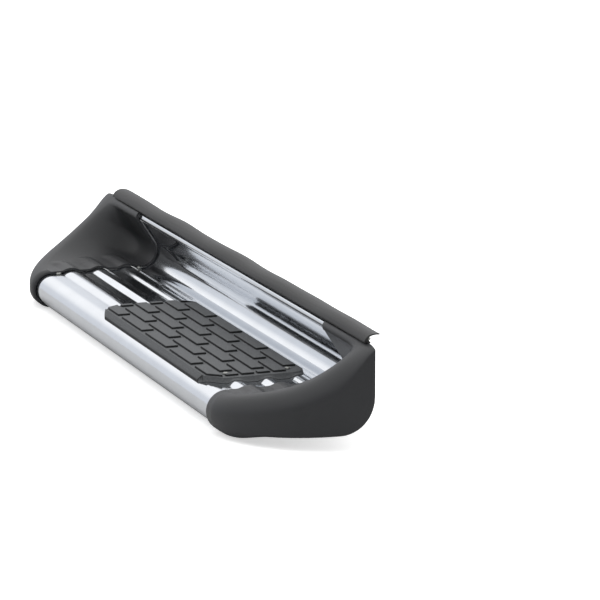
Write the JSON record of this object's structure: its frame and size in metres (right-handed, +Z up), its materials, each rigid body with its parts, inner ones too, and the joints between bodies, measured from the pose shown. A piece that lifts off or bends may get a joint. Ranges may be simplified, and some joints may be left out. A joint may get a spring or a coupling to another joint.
{
  "type": "truck side step",
  "caption": "Side step for a pickup truck: a folded stainless step with a ribbed tread and back wall, moulded end caps, a rubber tread pad, a rocker seal and three slotted support channels.",
  "frame": {"origin": "middle of the bracket face, the flat underside of the middle support channel's web, halfway along the step", "axes": "+X along the step to the end cap beside the pad, +Y inboard to the vehicle, +Z up"},
  "size_m": [0.972, 0.1694, 0.1288],
  "materials": {
    "polished_stainless": "polished stainless sheet",
    "moulded_plastic": "matte charcoal moulding with a fine grain",
    "pad_rubber": "matte charcoal rubber",
    "seal_rubber": "satin dark grey rubber sheet",
    "galvanised_steel": "galvanised",
    "zinc_plated_steel": "zinc plated",
    "black_spring_steel": "black"
  },
  "bodies": {
    "root": {"step_body": "polished_stainless", "end_cap_left": "moulded_plastic", "end_cap_right": "moulded_plastic", "step_pad": "pad_rubber", "rocker_seal": "seal_rubber", "support_channel_left": "galvanised_steel", "support_channel_middle": "galvanised_steel", "support_channel_right": "galvanised_steel", "cap_screw_left_front": "zinc_plated_steel", "cap_screw_left_rear": "zinc_plated_steel", "cap_screw_right_front": "zinc_plated_steel", "cap_screw_right_rear": "zinc_plated_steel", "cap_nut_left_front": "zinc_plated_steel", "cap_nut_left_rear": "zinc_plated_steel", "cap_nut_right_front": "zinc_plated_steel", "cap_nut_right_rear": "zinc_plated_steel", "pad_screw_front": "zinc_plated_steel", "pad_screw_rear": "zinc_plated_steel", "pad_nut_front": "zinc_plated_steel", "pad_nut_rear": "zinc_plated_steel", "pad_stud_left_front": "zinc_plated_steel", "pad_stud_left_rear": "zinc_plated_steel", "pad_stud_middle_front": "zinc_plated_steel", "pad_stud_middle_rear": "zinc_plated_steel", "stud_nut_left_front": "zinc_plated_steel", "stud_nut_left_rear": "zinc_plated_steel", "stud_nut_middle_front": "zinc_plated_steel", "stud_nut_middle_rear": "zinc_plated_steel", "seal_screw_left": "zinc_plated_steel", "seal_screw_right": "zinc_plated_steel", "seal_clip_left": "black_spring_steel", "seal_clip_middle": "black_spring_steel", "seal_clip_right": "black_spring_steel"}
  },
  "joints": []
}
